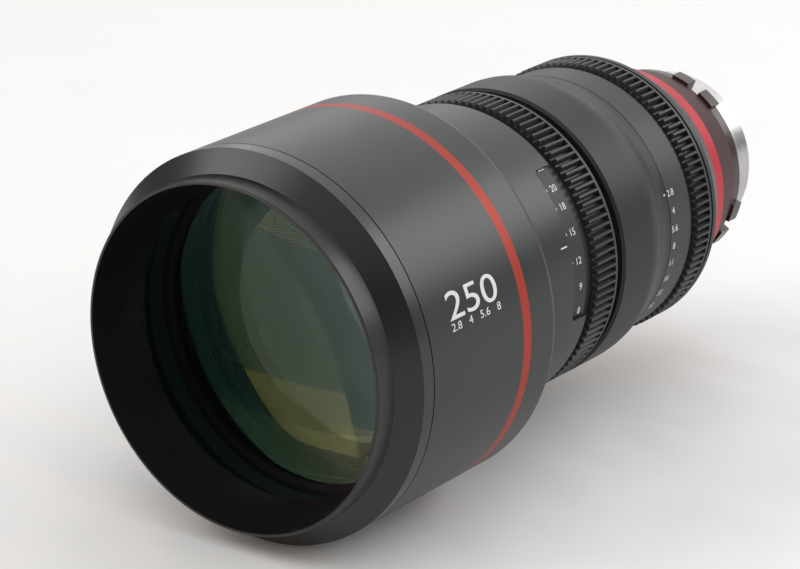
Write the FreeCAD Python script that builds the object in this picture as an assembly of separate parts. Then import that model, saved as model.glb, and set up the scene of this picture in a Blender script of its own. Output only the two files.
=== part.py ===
import FreeCAD, Part
import math
import os
from FreeCAD import Vector

os.makedirs("parts", exist_ok=True)

# Cine telephoto lens, millimetres. The optical axis is Y and points at the
# subject, Z is up, and the origin is the centre of the mount's flange seat.
# Angles about the axis are measured from +Z towards +X.

# Fits
seat_gap = 0.03
run_gap = 0.05
body_gap = 0.3
cement_gap = 0.1
end_gap = 0.2

# How far a cutting tool reaches past the piece it cuts
overcut = 1.0

# Outer stations along the axis, each a length of one visible piece
flange_thick = 4.4
spigot_length = 12.0
shim_thick = 0.3
tube_nose_length = 13.8
rear_accent_length = 7.0
bevel_length = 11.2
iris_shoulder_length = 1.6
iris_teeth_length = 6.9
iris_groove_length = 2.5
iris_band_length = 11.0
rear_body_length = 30.7
focus_neck_length = 2.2
focus_shoulder_length = 2.0
focus_teeth_length = 9.5
gear_groove_length = 4.5
sleeve_length = 33.0
shoulder_length = 12.9
front_accent_length = 3.7
front_barrel_length = 41.5
joint_groove = 0.4
hood_length = 16.0

# Outer radii, stepping out from the standard spigot to the big barrel
spigot_radius = 27.0
flange_step = 3.4
lug_height = 1.8
nose_step = 0.9
nose_taper = 3.2
bevel_wall = 2.1
bevel_lip = 1.2
tube_step = 4.45
iris_wall = 2.0
iris_groove_depth = 1.2
ogee_step = 3.5
barrel_step = 11.3
flange_radius = spigot_radius + flange_step
lug_radius = flange_radius + lug_height
nose_end_radius = flange_radius + nose_step
tube_nose_radius = nose_end_radius + nose_taper
bevel_small_radius = tube_nose_radius + bevel_wall
tube_radius = tube_nose_radius + tube_step
iris_neck_radius = tube_radius + run_gap + iris_wall
rear_waist_radius = iris_neck_radius + iris_groove_depth
sleeve_radius = rear_waist_radius + ogee_step
barrel_radius = sleeve_radius + barrel_step

# Stations from the flange seat forwards
flange_front = flange_thick
nose_rear = flange_front + shim_thick
accent_rear = nose_rear + tube_nose_length
bevel_rear = accent_rear + rear_accent_length
bevel_front = bevel_rear + bevel_length
iris_rear = bevel_front + body_gap
iris_teeth_rear = iris_rear + iris_shoulder_length
iris_teeth_front = iris_teeth_rear + iris_teeth_length
iris_groove_front = iris_teeth_front + iris_groove_length
iris_front = iris_groove_front + iris_band_length
body_rear = iris_front + body_gap
body_front = body_rear + rear_body_length
gear_rear = body_front + body_gap
gear_shoulder_rear = gear_rear + focus_neck_length
gear_teeth_rear = gear_shoulder_rear + focus_shoulder_length
gear_teeth_front = gear_teeth_rear + focus_teeth_length
sleeve_rear = gear_teeth_front + gear_groove_length
shoulder_rear = sleeve_rear + sleeve_length
shoulder_front = shoulder_rear + shoulder_length
barrel_rear = shoulder_front + front_accent_length
barrel_front = barrel_rear + front_barrel_length
hood_rear = barrel_front + joint_groove
hood_front = hood_rear + hood_length

# Hood ring
hood_lip_drop = 6.4
hood_lip_width = 0.9
hood_crease_drop = 6.1
hood_crease_depth = 6.6
hood_bevel_depth = 11.6
hood_throat_drop = 11.3
hood_throat_depth = 17.4
hood_lip_radius = barrel_radius - hood_lip_drop
hood_crease_radius = barrel_radius - hood_crease_drop
hood_throat_radius = barrel_radius - hood_throat_drop
hood_throat_land = 0.6
hood_spigot_length = 8.0
hood_spigot_wall = 3.2
lip_round = 0.4

# Big barrel and its shoulder
barrel_wall = 4.0
barrel_thread_wall = 2.4
accent_ring_wall = 1.5
barrel_spigot_length = 7.9
shoulder_wall = 3.5
shoulder_side_wall = 5.0
shoulder_round = 2.4
sleeve_wall = 0.8
sleeve_flange_width = 1.8
sleeve_flange_thick = 2.0
barrel_bore = barrel_radius - barrel_wall
barrel_thread_radius = barrel_radius - barrel_thread_wall
barrel_spigot_radius = barrel_radius - accent_ring_wall
shoulder_bore = barrel_radius - shoulder_side_wall
sleeve_flange_radius = sleeve_radius + sleeve_flange_width

# Scale window in the rear edge of the sleeve
window_start = -101.5
window_end = -42.2
window_length = 7.7
window_corner = 2.0

# Front optical group
cell_flange_thick = 3.0
cell_wall = 4.0
cell_rear_side_wall = 2.5
cell_rear_wall = 3.2
cell_step_length = 22.0
front_glass_edge = 4.0
front_glass_curve = 140.0
front_glass_rear_curve = 1200.0
front_glass_recess = 5.6
front_clear_rim = 3.0
retainer_thick = 3.4
retainer_bevel_width = 1.6
retainer_bevel_depth = 0.9
inner_glass_step = 3.5
cell_rib_height = 1.3
cell_rear_gap = 1.4
flint_edge = 6.5
flint_front_curve = 900.0
cement_curve = 600.0
crown_edge = 3.4
crown_rear_curve = 400.0
cell_retainer_thick = 3.0
cell_retainer_width = 3.5
front_glass_radius = barrel_bore - cell_wall
front_clear_radius = front_glass_radius - front_clear_rim
inner_glass_radius = front_glass_radius - inner_glass_step
cell_rib_radius = inner_glass_radius - cell_rib_height
cell_retainer_bore = inner_glass_radius - cell_retainer_width
cell_outer_rear = inner_glass_radius + cell_rear_side_wall

# Focus mechanism, stepping in from the sleeve to the guide barrel
drum_wall = 1.6
hub_wall = 3.0
cam_wall = 2.5
bushing_wall = 1.0
guide_wall = 2.5
drum_radius = sleeve_radius - sleeve_wall - body_gap
gear_hub_radius = drum_radius - drum_wall
cam_radius = gear_hub_radius - hub_wall
cam_bore = cam_radius - cam_wall
guide_radius = cam_bore - bushing_wall
guide_bore = guide_radius - guide_wall
guide_flange_gap = 2.0
guide_flange_radius = shoulder_bore - guide_flange_gap
guide_flange_thick = 4.0
guide_seat_length = 4.0
cam_front_gap = 4.0
bushing_length = 4.0
focus_turn_back = 150.0
focus_turn_forward = 120.0
focus_travel = 20.0
roller_radius = 2.95
roller_clearance = 0.15
roller_count = 3
first_roller = 60.0
roller_rest = 29.9
slot_end_gap = 0.4
stop_pin_radius = 1.5
stop_clearance = 0.1
stop_lug_height = 2.0
stop_angle = 150.0
focus_cell_length = 18.0
focus_cell_wall = 2.6
focus_glass_edge = 5.0
focus_glass_space = 2.4
focus_rear_curve = 160.0
focus_rear_front_curve = 360.0
focus_front_rear_curve = 350.0
focus_front_curve = 270.0
focus_seat_thick = 1.8
focus_lip = 2.0
focus_spacer_wall = 1.5
focus_retainer_thick = 2.0

# Focus ring
gear_module = 0.8
tooth_flank = 20.0
tooth_root_share = 1.25
gear_neck_step = 0.2
gear_hub_length = 12.0
gear_tip_drop = 0.1
gear_neck_radius = gear_hub_radius + gear_neck_step
focus_teeth = round(2.0 * (sleeve_radius - gear_tip_drop) / gear_module) - 2
drum_length = 15.0
drum_rear_gap = 0.3
key_screw_radius = 0.9
key_screw_angle = -76.8
key_screw_count = 3
key_screw_recess = 0.4
gear_corner = 1.0
tooth_root_step = 0.5

# Rear body
body_chamfer = 0.8
body_straight_length = 15.0
body_web_thick = 4.0
tube_collar = 0.55
body_rib_thick = 4.0
body_bore = tube_radius + tube_collar
tube_seat_length = 13.0

# Rear tube under the iris ring
tube_wall = 2.35
tube_web_thick = 4.0
tube_web_gap = 0.5
tube_rear_wall = 5.0
tube_end_length = 6.5
body_rib_gap = 0.4
tube_bore = tube_radius - tube_wall
body_rib_bore = tube_bore + body_rib_gap
tube_rear_bore = tube_nose_radius - tube_rear_wall

# Iris ring and unit
iris_tip_height = 1.0
iris_gear_teeth = round(2.0 * (rear_waist_radius + iris_tip_height) / gear_module) - 2
iris_corner = 0.6
iris_base_thick = 2.0
blade_count = 9
blade_thick = 0.16
blade_spacing = 0.3
blade_pivot_inset = 8.1
blade_pivot_gap = 2.2
blade_width = 6.3
blade_neck_depth = 4.3
blade_pivot_radius = tube_bore - blade_pivot_inset
blade_outer = blade_pivot_radius - blade_pivot_gap
blade_inner = blade_outer - blade_width
blade_neck_inner = blade_outer - blade_neck_depth
iris_open_step = 0.5
iris_open_radius = blade_inner - iris_open_step
blade_sweep = 98.0
blade_turn = 35.0
iris_turn = 60.0
blade_drive_arm = 9.0
blade_ear_radius = 1.7
blade_pin_radius = 0.6
rotor_thick = 3.0
rotor_bore_step = 3.5
rotor_bore = iris_open_radius + rotor_bore_step
slot_points = 12
post_radius = 1.0
post_depth = 1.6
post_start = 180.0
iris_retainer_thick = 1.4
iris_retainer_width = 3.1
iris_retainer_bore = tube_bore - iris_retainer_width

# Rear optical group
mount_wall = 1.5
rear_cell_radius = spigot_radius - mount_wall - seat_gap
tube_web_bore = rear_cell_radius + tube_web_gap
rear_cell_front = 32.0
rear_cell_rear = -8.0
rear_cell_wall = 2.4
rear_glass_edge = 6.0
rear_inner_curve = 80.0
rear_inner_front_curve = 240.0
rear_outer_curve = 60.0
rear_outer_back_curve = 240.0
rear_outer_thick = 5.0
rear_glass_seat = 19.0
rear_outer_seat = -1.0
rear_lens_lip = 1.2
rear_retainer_thick = 2.0
baffle_thick = 3.0
baffle_width = 4.0
baffle_bore = rear_cell_radius - baffle_width
baffle_taper = 1.0
spigot_chamfer = 0.6
accent_taper = 0.8

# Lens mount flange
lug_count = 4
lug_first = -118.0
lug_width = 30.0
notch_width = 8.0
notch_depth = 3.6
mount_screw_count = 6
mount_screw_radius = 0.8
mount_screw_head_radius = 1.4
mount_screw_length = 9.0
mount_screw_step = 1.7
mount_screw_circle = spigot_radius + mount_screw_step
barrel_screw_count = 6
barrel_screw_step = 5.0
barrel_screw_circle = guide_radius + barrel_screw_step
barrel_screw_radius = 1.5
barrel_screw_head_radius = 2.6
barrel_head_height = 1.6

full_turn = 360.0
quarter_turn = 90.0
axis = Vector(0, 1, 0)
origin = Vector(0, 0, 0)
parts = {}


def outline(start, *steps):
    """Closed face in the (radius, y) plane; a step is a point, or a pair (mid, end) for an arc."""
    edges = []
    here = Vector(start[0], start[1], 0)
    for step in list(steps) + [start]:
        if isinstance(step[0], tuple):
            middle = Vector(step[0][0], step[0][1], 0)
            there = Vector(step[1][0], step[1][1], 0)
            edges.append(Part.Arc(here, middle, there).toShape())
        else:
            there = Vector(step[0], step[1], 0)
            if there.distanceToPoint(here) > 1e-7:
                edges.append(Part.LineSegment(here, there).toShape())
        here = there
    return Part.Face(Part.Wire(edges))


def turned(start, *steps):
    """Solid of revolution about the optical axis."""
    return outline(start, *steps).revolve(origin, axis, full_turn)


def tube(inner, outer, rear, front):
    return turned((inner, rear), (outer, rear), (outer, front), (inner, front))


def turn(shape, angle):
    """Copy of a shape turned about the optical axis."""
    copy = shape.copy()
    copy.rotate(origin, axis, angle)
    return copy


def radial_pin(radius, inner, outer, y, angle=0.0):
    """Cylinder that points away from the axis."""
    return turn(Part.makeCylinder(radius, outer - inner, Vector(0, y, inner), Vector(0, 0, 1)), angle)


def axial_pin(radius, circle, rear, front, angle=0.0):
    """Cylinder parallel to the axis on a pitch circle."""
    return turn(Part.makeCylinder(radius, front - rear, Vector(0, rear, circle), axis), angle)


def sector(inner, outer, rear, front, start, end):
    """Part of a tube between two angles about the axis."""
    face = outline((inner, rear), (outer, rear), (outer, front), (inner, front))
    solid = face.revolve(origin, axis, end - start)
    return turn(solid, start - quarter_turn)


def together(shapes):
    return Part.makeCompound(shapes)


def sag(curve, radius):
    """Height of a spherical surface over its edge."""
    return curve - math.sqrt(curve * curve - radius * radius)


def rise(curve, edge_radius, seat_radius):
    """Step from a convex element's edge to the seat or retainer that touches it further in."""
    return sag(curve, edge_radius) - sag(curve, seat_radius) + seat_gap


def lens(radius, rear_edge, front_edge, rear_bulge, front_bulge):
    """Glass element; a bulge is the height of each surface over its edge, negative where hollow."""
    front_mid = (radius * 0.5, front_edge + arc_height(radius, front_bulge))
    rear_mid = (radius * 0.5, rear_edge - arc_height(radius, rear_bulge))
    return turned(
        (0, rear_edge - rear_bulge),
        (rear_mid, (radius, rear_edge)),
        (radius, front_edge),
        (front_mid, (0, front_edge + front_bulge)),
    )


def arc_height(radius, bulge):
    """Height at half radius of the spherical surface that bulges by a given height."""
    if bulge == 0:
        return 0.0
    curve = (radius * radius + bulge * bulge) / (2.0 * abs(bulge))
    height = math.sqrt(curve * curve - 0.25 * radius * radius) - (curve - abs(bulge))
    return math.copysign(height, bulge)


def rounded(shape, size, spots):
    """Fillet the circular edges at the given (radius, y) places."""
    chosen = []
    for edge in shape.Edges:
        curve = edge.Curve
        if not hasattr(curve, "Radius") or not hasattr(curve, "Center"):
            continue
        for radius, y in spots:
            if abs(curve.Radius - radius) < 1e-4 and abs(curve.Center.y - y) < 1e-4:
                chosen.append(edge)
    return shape.makeFillet(size, chosen)


# Straight flanked teeth of a follow focus gear: the tip and root widths come
# from the module and the usual 20 degree flank.
def gear_teeth(count, rear, front, bore):
    pitch_radius = 0.5 * gear_module * count
    tip = pitch_radius + gear_module
    root = pitch_radius - tooth_root_share * gear_module
    half = 0.25 * math.pi * gear_module
    lean = math.tan(math.radians(tooth_flank))
    tip_half = (half - gear_module * lean) / tip
    root_half = (half + tooth_root_share * gear_module * lean) / root
    points = []
    for tooth in range(count):
        middle = 2.0 * math.pi * tooth / count
        for radius, side in ((root, -root_half), (tip, -tip_half), (tip, tip_half), (root, root_half)):
            angle = middle + side
            points.append(Vector(radius * math.sin(angle), rear, radius * math.cos(angle)))
    rim = Part.Face(Part.makePolygon(points + [points[0]]))
    blank = rim.extrude(Vector(0, front - rear, 0))
    return blank.cut(Part.makeCylinder(bore, front - rear, Vector(0, rear, 0), axis))


focus_tip_radius = 0.5 * gear_module * focus_teeth + gear_module
iris_tip_radius = 0.5 * gear_module * iris_gear_teeth + gear_module


# Hood ring: creased bevel outside, flared cone inside, spigot into the barrel
hood_spigot_rear = hood_rear - hood_spigot_length
hood_spigot_radius = barrel_thread_radius - seat_gap
throat = hood_front - hood_throat_depth
hood = turned(
    (hood_lip_radius, hood_front),
    (hood_crease_radius, hood_front - hood_crease_depth),
    (barrel_radius, hood_front - hood_bevel_depth),
    (barrel_radius, hood_rear),
    (hood_spigot_radius, hood_rear),
    (hood_spigot_radius, hood_spigot_rear),
    (hood_spigot_radius - hood_spigot_wall, hood_spigot_rear),
    (hood_spigot_radius - hood_spigot_wall, throat - hood_throat_land),
    (hood_throat_radius, throat - hood_throat_land),
    (hood_throat_radius, throat),
    (hood_lip_radius - hood_lip_width, hood_front),
)
hood = rounded(hood, lip_round, [(hood_lip_radius, hood_front)])
parts["hood_ring"] = hood

# Front barrel: thread for the hood, bore for the front cell, rear spigot
cell_front = hood_spigot_rear
cell_seat = cell_front - cell_flange_thick
spigot_rear = barrel_rear - barrel_spigot_length
parts["front_barrel"] = turned(
    (barrel_bore, spigot_rear),
    (barrel_spigot_radius, spigot_rear),
    (barrel_spigot_radius, barrel_rear),
    (barrel_radius, barrel_rear),
    (barrel_radius, barrel_front),
    (barrel_thread_radius, barrel_front),
    (barrel_thread_radius, cell_seat),
    (barrel_bore, cell_seat),
)
parts["front_accent_ring"] = tube(
    barrel_spigot_radius + seat_gap, barrel_radius, shoulder_front, barrel_rear
)

# Shoulder barrel: closes the big barrel down to the guide barrel
shoulder_wall_front = shoulder_rear + shoulder_wall
spigot_pocket = spigot_rear - body_gap
sleeve_rebate = shoulder_rear + sleeve_flange_thick
shoulder = turned(
    (guide_radius + seat_gap, sleeve_rebate),
    (guide_radius + seat_gap, shoulder_wall_front),
    (shoulder_bore, shoulder_wall_front),
    (shoulder_bore, spigot_pocket),
    (barrel_spigot_radius + seat_gap, spigot_pocket),
    (barrel_spigot_radius + seat_gap, shoulder_front),
    (barrel_radius, shoulder_front),
    (barrel_radius, shoulder_rear),
    (sleeve_flange_radius, shoulder_rear),
    (sleeve_flange_radius, sleeve_rebate),
)
shoulder = rounded(shoulder, shoulder_round, [(barrel_radius, shoulder_rear)])

# Screws that hold the guide barrel's flange to the shoulder
guide_flange_front = shoulder_wall_front + guide_flange_thick
screws = []
for index in range(barrel_screw_count):
    angle = full_turn * index / barrel_screw_count
    hole = axial_pin(
        barrel_screw_radius + seat_gap, barrel_screw_circle, sleeve_rebate, shoulder_wall_front, angle
    )
    shoulder = shoulder.cut(hole)
    shank = axial_pin(
        barrel_screw_radius, barrel_screw_circle, sleeve_rebate, guide_flange_front, angle
    )
    head = axial_pin(
        barrel_screw_head_radius,
        barrel_screw_circle,
        guide_flange_front,
        guide_flange_front + barrel_head_height,
        angle,
    )
    screws.append(shank.fuse(head).removeSplitter())
parts["barrel_screws"] = together(screws)

# Fixed sleeve with the scale window cut into its rear edge
sleeve_bore = sleeve_radius - sleeve_wall
sleeve = turned(
    (sleeve_bore, sleeve_rear),
    (sleeve_radius, sleeve_rear),
    (sleeve_radius, shoulder_rear),
    (sleeve_flange_radius - seat_gap, shoulder_rear),
    (sleeve_flange_radius - seat_gap, sleeve_rebate),
    (sleeve_bore, sleeve_rebate),
)
corner_angle = math.degrees(window_corner / sleeve_radius)
window_front = sleeve_rear + window_length
cutter = sector(
    sleeve_bore - overcut, sleeve_radius + overcut, sleeve_rear - overcut, window_front - window_corner,
    window_start, window_end,
)
cutter = cutter.fuse(sector(
    sleeve_bore - overcut, sleeve_radius + overcut, window_front - 2 * window_corner, window_front,
    window_start + corner_angle, window_end - corner_angle,
))
for angle in (window_start + corner_angle, window_end - corner_angle):
    cutter = cutter.fuse(radial_pin(
        window_corner, sleeve_bore - overcut, sleeve_radius + overcut, window_front - window_corner, angle
    ))
parts["window_sleeve"] = sleeve.cut(cutter)

# Front cell: carries the front element from the front and the doublet from the rear
front_glass_front = cell_front - front_glass_recess - retainer_thick
front_glass_rear = front_glass_front - front_glass_edge
rib_front_y = front_glass_rear - rise(front_glass_rear_curve, front_glass_radius, cell_rib_radius)
cell_rear = guide_flange_front + cell_rear_gap
clamp_front = cell_rear + cell_rear_wall + cell_retainer_thick
crown_rear = clamp_front + rise(crown_rear_curve, inner_glass_radius, cell_retainer_bore)
crown_front = crown_rear + crown_edge
flint_rear = crown_front + cement_gap
flint_front = flint_rear + flint_edge
rib_rear = flint_front + seat_gap
front_bore = front_glass_radius + seat_gap
rear_bore = inner_glass_radius + seat_gap
cell_step = cell_seat - cell_step_length
parts["front_cell"] = turned(
    (front_bore, cell_front),
    (barrel_thread_radius - seat_gap, cell_front),
    (barrel_thread_radius - seat_gap, cell_seat),
    (barrel_bore - seat_gap, cell_seat),
    (barrel_bore - seat_gap, cell_step),
    (cell_outer_rear, cell_step - (barrel_bore - seat_gap - cell_outer_rear)),
    (cell_outer_rear, cell_rear),
    (rear_bore, cell_rear),
    (rear_bore, rib_rear),
    (cell_rib_radius, rib_rear),
    (cell_rib_radius, rib_front_y),
    (front_bore, rib_front_y),
)
front_bulge = sag(front_glass_curve, front_glass_radius)
parts["front_element"] = lens(
    front_glass_radius, front_glass_rear, front_glass_front,
    sag(front_glass_rear_curve, front_glass_radius), front_bulge,
)

# The front retainer's lip follows the height of the glass at its bore
lip_y = front_glass_front + rise(front_glass_curve, front_glass_radius, front_clear_radius)
retainer_front = front_glass_front + retainer_thick
parts["front_retainer"] = turned(
    (front_clear_radius, lip_y + seat_gap),
    (front_glass_radius, front_glass_front + 2 * seat_gap),
    (front_glass_radius, retainer_front),
    (front_clear_radius + retainer_bevel_width, retainer_front),
    (front_clear_radius, retainer_front - retainer_bevel_depth),
)

# Doublet: a flint hollow on both sides in front, and a crown that bulges on both sides
cement_bulge = sag(cement_curve, inner_glass_radius)
parts["flint_element"] = lens(
    inner_glass_radius, flint_rear, flint_front, -cement_bulge, -sag(flint_front_curve, inner_glass_radius)
)
parts["crown_element"] = lens(
    inner_glass_radius, crown_rear, crown_front, sag(crown_rear_curve, inner_glass_radius), cement_bulge
)
parts["cell_retainer"] = tube(
    cell_retainer_bore, inner_glass_radius, clamp_front - cell_retainer_thick, clamp_front
)

# Guide barrel: fixed tube with a straight slot for each cam roller
cam_rear = gear_rear
cam_front = shoulder_rear - cam_front_gap
roller_y = gear_rear + roller_rest
cam_rate = focus_travel / math.radians(focus_turn_back + focus_turn_forward)
roller_low = roller_y - cam_rate * math.radians(focus_turn_back)
roller_high = roller_y + cam_rate * math.radians(focus_turn_forward)
guide_rear = body_front - guide_seat_length
slot_width = 2.0 * (roller_radius + roller_clearance)
guide = turned(
    (guide_bore, guide_rear),
    (guide_radius, guide_rear),
    (guide_radius, shoulder_wall_front),
    (guide_flange_radius, shoulder_wall_front),
    (guide_flange_radius, guide_flange_front),
    (guide_bore, guide_flange_front),
)
slot = Part.makeBox(
    slot_width,
    roller_high - roller_low + 2 * slot_end_gap,
    guide_radius - guide_bore + 2 * overcut,
    Vector(-0.5 * slot_width, roller_low - slot_end_gap, guide_bore - overcut),
)
for y in (roller_low - slot_end_gap, roller_high + slot_end_gap):
    slot = slot.fuse(radial_pin(0.5 * slot_width, guide_bore - overcut, guide_radius + overcut, y))
roller_angles = [full_turn * index / roller_count + first_roller for index in range(roller_count)]
for angle in roller_angles:
    guide = guide.cut(turn(slot, angle))
for index in range(barrel_screw_count):
    angle = full_turn * index / barrel_screw_count
    guide = guide.cut(axial_pin(
        barrel_screw_radius + seat_gap, barrel_screw_circle, shoulder_wall_front, guide_flange_front, angle
    ))
parts["guide_barrel"] = guide


# Cam sleeve: one helical slot for each roller, and the lug of the end stop
def helical_slot():
    """Tool along the roller's path as the sleeve sees it, with round ends."""
    first = -focus_turn_forward - math.degrees(slot_end_gap / cam_radius)
    last = focus_turn_back + math.degrees(slot_end_gap / cam_radius)
    sweep = math.radians(last - first)
    middle = 0.5 * (cam_bore + cam_radius)
    helix = Part.makeLongHelix(2.0 * math.pi * cam_rate, cam_rate * sweep, middle, 0, True)
    depth = cam_radius - cam_bore + 2.0 * overcut
    corners = (
        Vector(middle - 0.5 * depth, 0, -0.5 * slot_width),
        Vector(middle + 0.5 * depth, 0, -0.5 * slot_width),
        Vector(middle + 0.5 * depth, 0, 0.5 * slot_width),
        Vector(middle - 0.5 * depth, 0, 0.5 * slot_width),
    )
    section = Part.makePolygon(list(corners) + [corners[0]])
    path = Part.Wire(helix.Edges)
    tool = path.makePipeShell([section], True, True)
    # the left hand helix about Z is laid on the lens axis, with its low end at the last angle
    tool.rotate(origin, Vector(1, 0, 0), -quarter_turn)
    tool.translate(Vector(0, roller_y - cam_rate * math.radians(last), 0))
    tool = turn(tool, last - quarter_turn)
    for bound in (first, last):
        tool = tool.fuse(radial_pin(
            0.5 * slot_width, middle - 0.5 * depth, middle + 0.5 * depth,
            roller_y - cam_rate * math.radians(bound), bound,
        ))
    return tool


cam = tube(cam_bore, cam_radius, cam_rear, cam_front)
cam_slot = helical_slot()
for angle in roller_angles:
    cam = cam.cut(turn(cam_slot, angle))
stop_circle = 0.5 * (cam_bore + cam_radius)
stop_half = math.degrees((stop_pin_radius + stop_clearance) / stop_circle)
lug = sector(
    cam_bore, cam_radius, cam_front, cam_front + stop_lug_height,
    stop_angle + focus_turn_back + stop_half, stop_angle + full_turn - focus_turn_forward - stop_half,
)
parts["cam_sleeve"] = cam.fuse(lug).removeSplitter()
parts["focus_stop_pin"] = axial_pin(
    stop_pin_radius, stop_circle, cam_front + body_gap, shoulder_wall_front, stop_angle
)
pin_hole = axial_pin(
    stop_pin_radius + seat_gap, stop_circle,
    sleeve_rebate - overcut, shoulder_wall_front + overcut, stop_angle,
)
parts["front_cam_bushing"] = tube(
    guide_radius + run_gap, cam_bore - seat_gap, cam_front - bushing_length, cam_front
)
parts["rear_cam_bushing"] = tube(
    guide_radius + run_gap, cam_bore - seat_gap, cam_rear, cam_rear + bushing_length
)

# Rollers that ride in both slots
rollers = []
for angle in roller_angles:
    rollers.append(radial_pin(roller_radius, guide_bore - run_gap, cam_radius - end_gap, roller_y, angle))
parts["focus_rollers"] = together(rollers)

# Focus cell: slides in the guide barrel with a hollow and a curved element
focus_cell_radius = guide_bore - run_gap
focus_cell_rear = roller_y - 0.5 * focus_cell_length
focus_cell_front = roller_y + 0.5 * focus_cell_length
focus_glass_radius = focus_cell_radius - focus_cell_wall - seat_gap
focus_seat = focus_cell_rear + focus_seat_thick
parts["focus_cell"] = turned(
    (focus_glass_radius - focus_lip, focus_cell_rear),
    (focus_cell_radius, focus_cell_rear),
    (focus_cell_radius, focus_cell_front),
    (focus_glass_radius + seat_gap, focus_cell_front),
    (focus_glass_radius + seat_gap, focus_seat),
    (focus_glass_radius - focus_lip, focus_seat),
)
parts["focus_rear_element"] = lens(
    focus_glass_radius, focus_seat, focus_seat + focus_glass_edge,
    -sag(focus_rear_curve, focus_glass_radius), -sag(focus_rear_front_curve, focus_glass_radius),
)
spacer_rear = focus_seat + focus_glass_edge
spacer_front = spacer_rear + focus_glass_space
parts["focus_spacer"] = tube(
    focus_glass_radius - focus_spacer_wall, focus_glass_radius, spacer_rear, spacer_front
)
focus_front_seat = spacer_front + focus_glass_edge
parts["focus_front_element"] = lens(
    focus_glass_radius, spacer_front, focus_front_seat,
    -sag(focus_front_rear_curve, focus_glass_radius), -sag(focus_front_curve, focus_glass_radius),
)
parts["focus_retainer"] = tube(
    focus_glass_radius - focus_lip, focus_glass_radius,
    focus_front_seat, focus_front_seat + focus_retainer_thick,
)

# Focus gear: neck, shoulder, teeth and the hub that carries the scale drum
gear_bore = cam_radius + seat_gap
hub_front = gear_teeth_front + gear_hub_length
gear_blank = turned(
    (gear_bore, gear_rear),
    (gear_neck_radius, gear_rear),
    (gear_neck_radius, gear_shoulder_rear),
    (focus_tip_radius - gear_corner, gear_shoulder_rear),
    (focus_tip_radius, gear_shoulder_rear + gear_corner),
    (focus_tip_radius, gear_teeth_rear),
    (gear_hub_radius - tooth_root_step, gear_teeth_rear),
    (gear_hub_radius - tooth_root_step, gear_teeth_front),
    (gear_hub_radius, gear_teeth_front),
    (gear_hub_radius, hub_front),
    (gear_bore, hub_front),
)
teeth = gear_teeth(focus_teeth, gear_teeth_rear, gear_teeth_front, gear_hub_radius - tooth_root_step)
gear = gear_blank.fuse(teeth).removeSplitter()
key_y = gear_rear + 0.5 * focus_neck_length
keys = []
for index in range(key_screw_count):
    angle = key_screw_angle + full_turn * index / key_screw_count
    hole = radial_pin(
        key_screw_radius + seat_gap, gear_bore - overcut, gear_neck_radius + overcut, key_y, angle
    )
    gear = gear.cut(hole)
    keys.append(radial_pin(key_screw_radius, gear_bore, gear_neck_radius - key_screw_recess, key_y, angle))
parts["focus_gear"] = gear
parts["focus_key_screws"] = together(keys)
drum_rear = sleeve_rear + drum_rear_gap
parts["focus_scale_drum"] = tube(
    gear_hub_radius + seat_gap, drum_radius, drum_rear, drum_rear + drum_length
)

# Rear body: straight front, ogee down to the waist, web and rib inside
ogee_front = body_front - body_straight_length
ogee_rear = body_rear
ogee_mid_y = 0.5 * (ogee_front + ogee_rear)
ogee_mid_r = 0.5 * (sleeve_radius + rear_waist_radius)


def ogee_arc_middle(flat_r, flat_y):
    """Middle point of the arc that leaves (flat_r, flat_y) along the axis and ends half way."""
    climb = ogee_mid_r - flat_r
    run = ogee_mid_y - flat_y
    radius = (climb * climb + run * run) / (2.0 * abs(climb))
    half = 0.5 * math.asin(min(1.0, abs(run) / radius))
    drop = math.copysign(radius * (1.0 - math.cos(half)), climb)
    return (flat_r + drop, flat_y + math.copysign(radius * math.sin(half), run))


rib_front = body_rear + tube_seat_length + body_rib_thick
parts["rear_body"] = turned(
    (body_bore, body_rear),
    (rear_waist_radius, ogee_rear),
    (ogee_arc_middle(rear_waist_radius, ogee_rear), (ogee_mid_r, ogee_mid_y)),
    (ogee_arc_middle(sleeve_radius, ogee_front), (sleeve_radius, ogee_front)),
    (sleeve_radius, body_front - body_chamfer),
    (sleeve_radius - body_chamfer, body_front),
    (guide_radius + seat_gap, body_front),
    (guide_radius + seat_gap, body_front - body_web_thick),
    (body_bore, body_front - body_web_thick),
    (body_bore, rib_front),
    (body_rib_bore, rib_front),
    (body_rib_bore, rib_front - body_rib_thick),
    (body_bore, rib_front - body_rib_thick),
)

# Rear tube: seats in the rear body, carries the iris unit, bevel, accent and mount
tube_front = rib_front - body_rib_thick
web_front = iris_rear + tube_web_thick
tube_solid = turned(
    (tube_bore, tube_front),
    (body_bore - seat_gap, tube_front),
    (body_bore - seat_gap, body_rear),
    (tube_radius, body_rear),
    (tube_radius, bevel_front),
    (tube_nose_radius, bevel_front),
    (tube_nose_radius, accent_rear),
    (nose_end_radius, nose_rear),
    (rear_cell_radius + seat_gap, nose_rear),
    (rear_cell_radius + seat_gap, nose_rear + tube_end_length),
    (tube_rear_bore, nose_rear + tube_end_length),
    (tube_rear_bore, web_front - tube_web_thick),
    (tube_web_bore, web_front - tube_web_thick),
    (tube_web_bore, web_front),
    (tube_bore, web_front),
)

# Iris unit: base plate, stacked blades, slotted rotor, retaining ring
base_front = web_front + iris_base_thick
blade_stack_rear = base_front + blade_spacing - blade_thick
rotor_rear = blade_stack_rear + blade_count * blade_spacing
rotor_front = rotor_rear + rotor_thick
post_y = 0.5 * (rotor_rear + rotor_front)
slot_overrun = math.degrees((post_radius + body_gap) / tube_radius)
tube_solid = tube_solid.cut(sector(
    tube_bore - overcut, tube_radius + overcut,
    post_y - post_radius - 2 * run_gap, post_y + post_radius + 2 * run_gap,
    post_start - slot_overrun, post_start + iris_turn + slot_overrun,
))

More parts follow.
